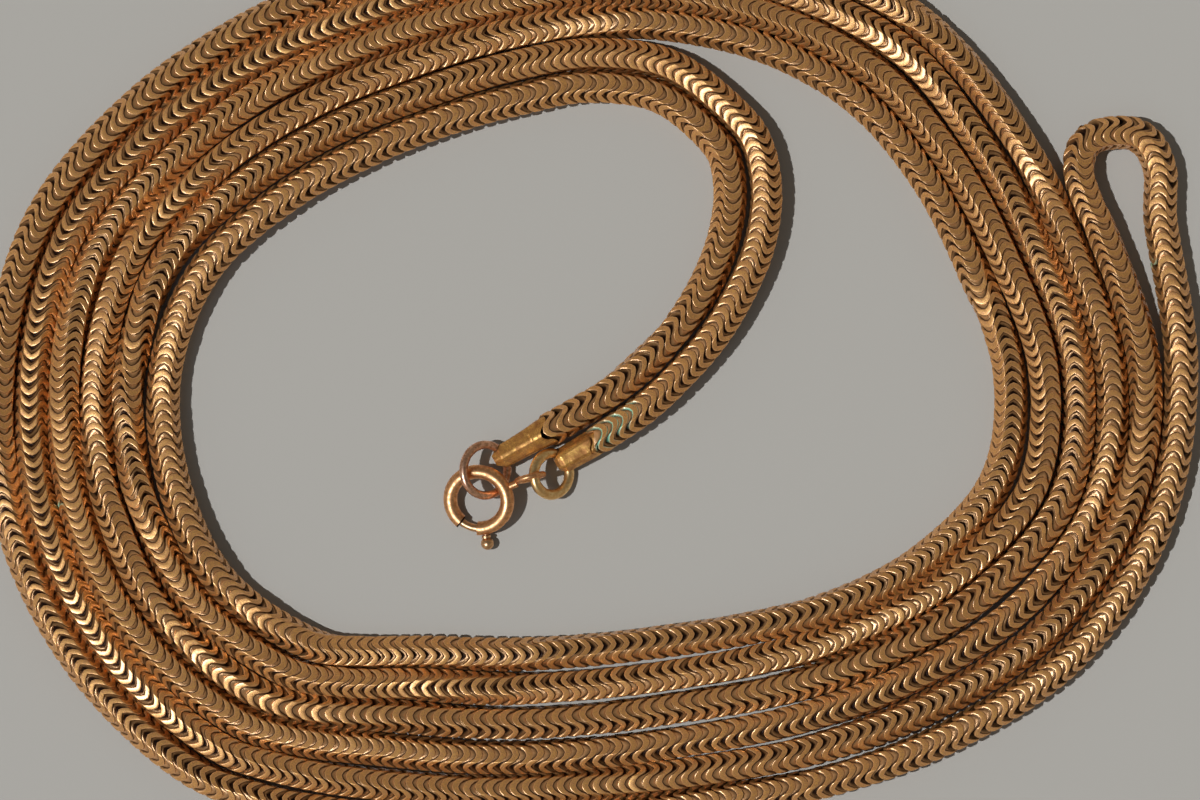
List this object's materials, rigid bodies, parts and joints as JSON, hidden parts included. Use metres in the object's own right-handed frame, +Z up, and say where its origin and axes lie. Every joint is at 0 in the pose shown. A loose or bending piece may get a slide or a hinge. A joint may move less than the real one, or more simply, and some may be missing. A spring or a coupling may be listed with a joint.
{
  "type": "snake chain",
  "caption": "Long neck chain of wavy hexagonal snake links, with end caps, jump rings and a bolt ring clasp, lying fastened in a flat coil of doubled strands.",
  "frame": {"origin": "under the middle of the coil's bounding box, on the surface it lies on", "axes": "+Z up from the surface, +X along the coil's longer way, towards the fold, +Y towards the top of the picture"},
  "size_m": [0.1088, 0.0834, 0.004],
  "materials": {
    "chain": "worn gilt brass, satin, dark between the links",
    "cap_metal": "worn gilt brass, dented and tarnished",
    "ring_a_metal": "tarnished rose metal, satin",
    "ring_b_metal": "yellow brass, satin",
    "bolt_ring_metal": "rose gilt, polished and rubbed",
    "bolt_metal": "rose gilt, rubbed"
  },
  "bodies": {
    "chain": {"chain_half_a": "chain", "chain_half_b": "chain", "end_cap_a": "cap_metal", "end_cap_b": "cap_metal", "jump_ring_a": "ring_a_metal", "jump_ring_b": "ring_b_metal", "bolt_ring": "bolt_ring_metal"},
    "bolt": {"bolt": "bolt_metal"}
  },
  "joints": [
    {"name": "bolt_travel", "type": "hinge", "parent": "chain", "child": "bolt", "pos_m": [-0.0101, -0.01112, 0.00135], "axis": [-0.1609, -0.1918, 0.9681], "range_deg": [0, 38], "stiffness_Nm_per_rad": 0.00002}
  ]
}
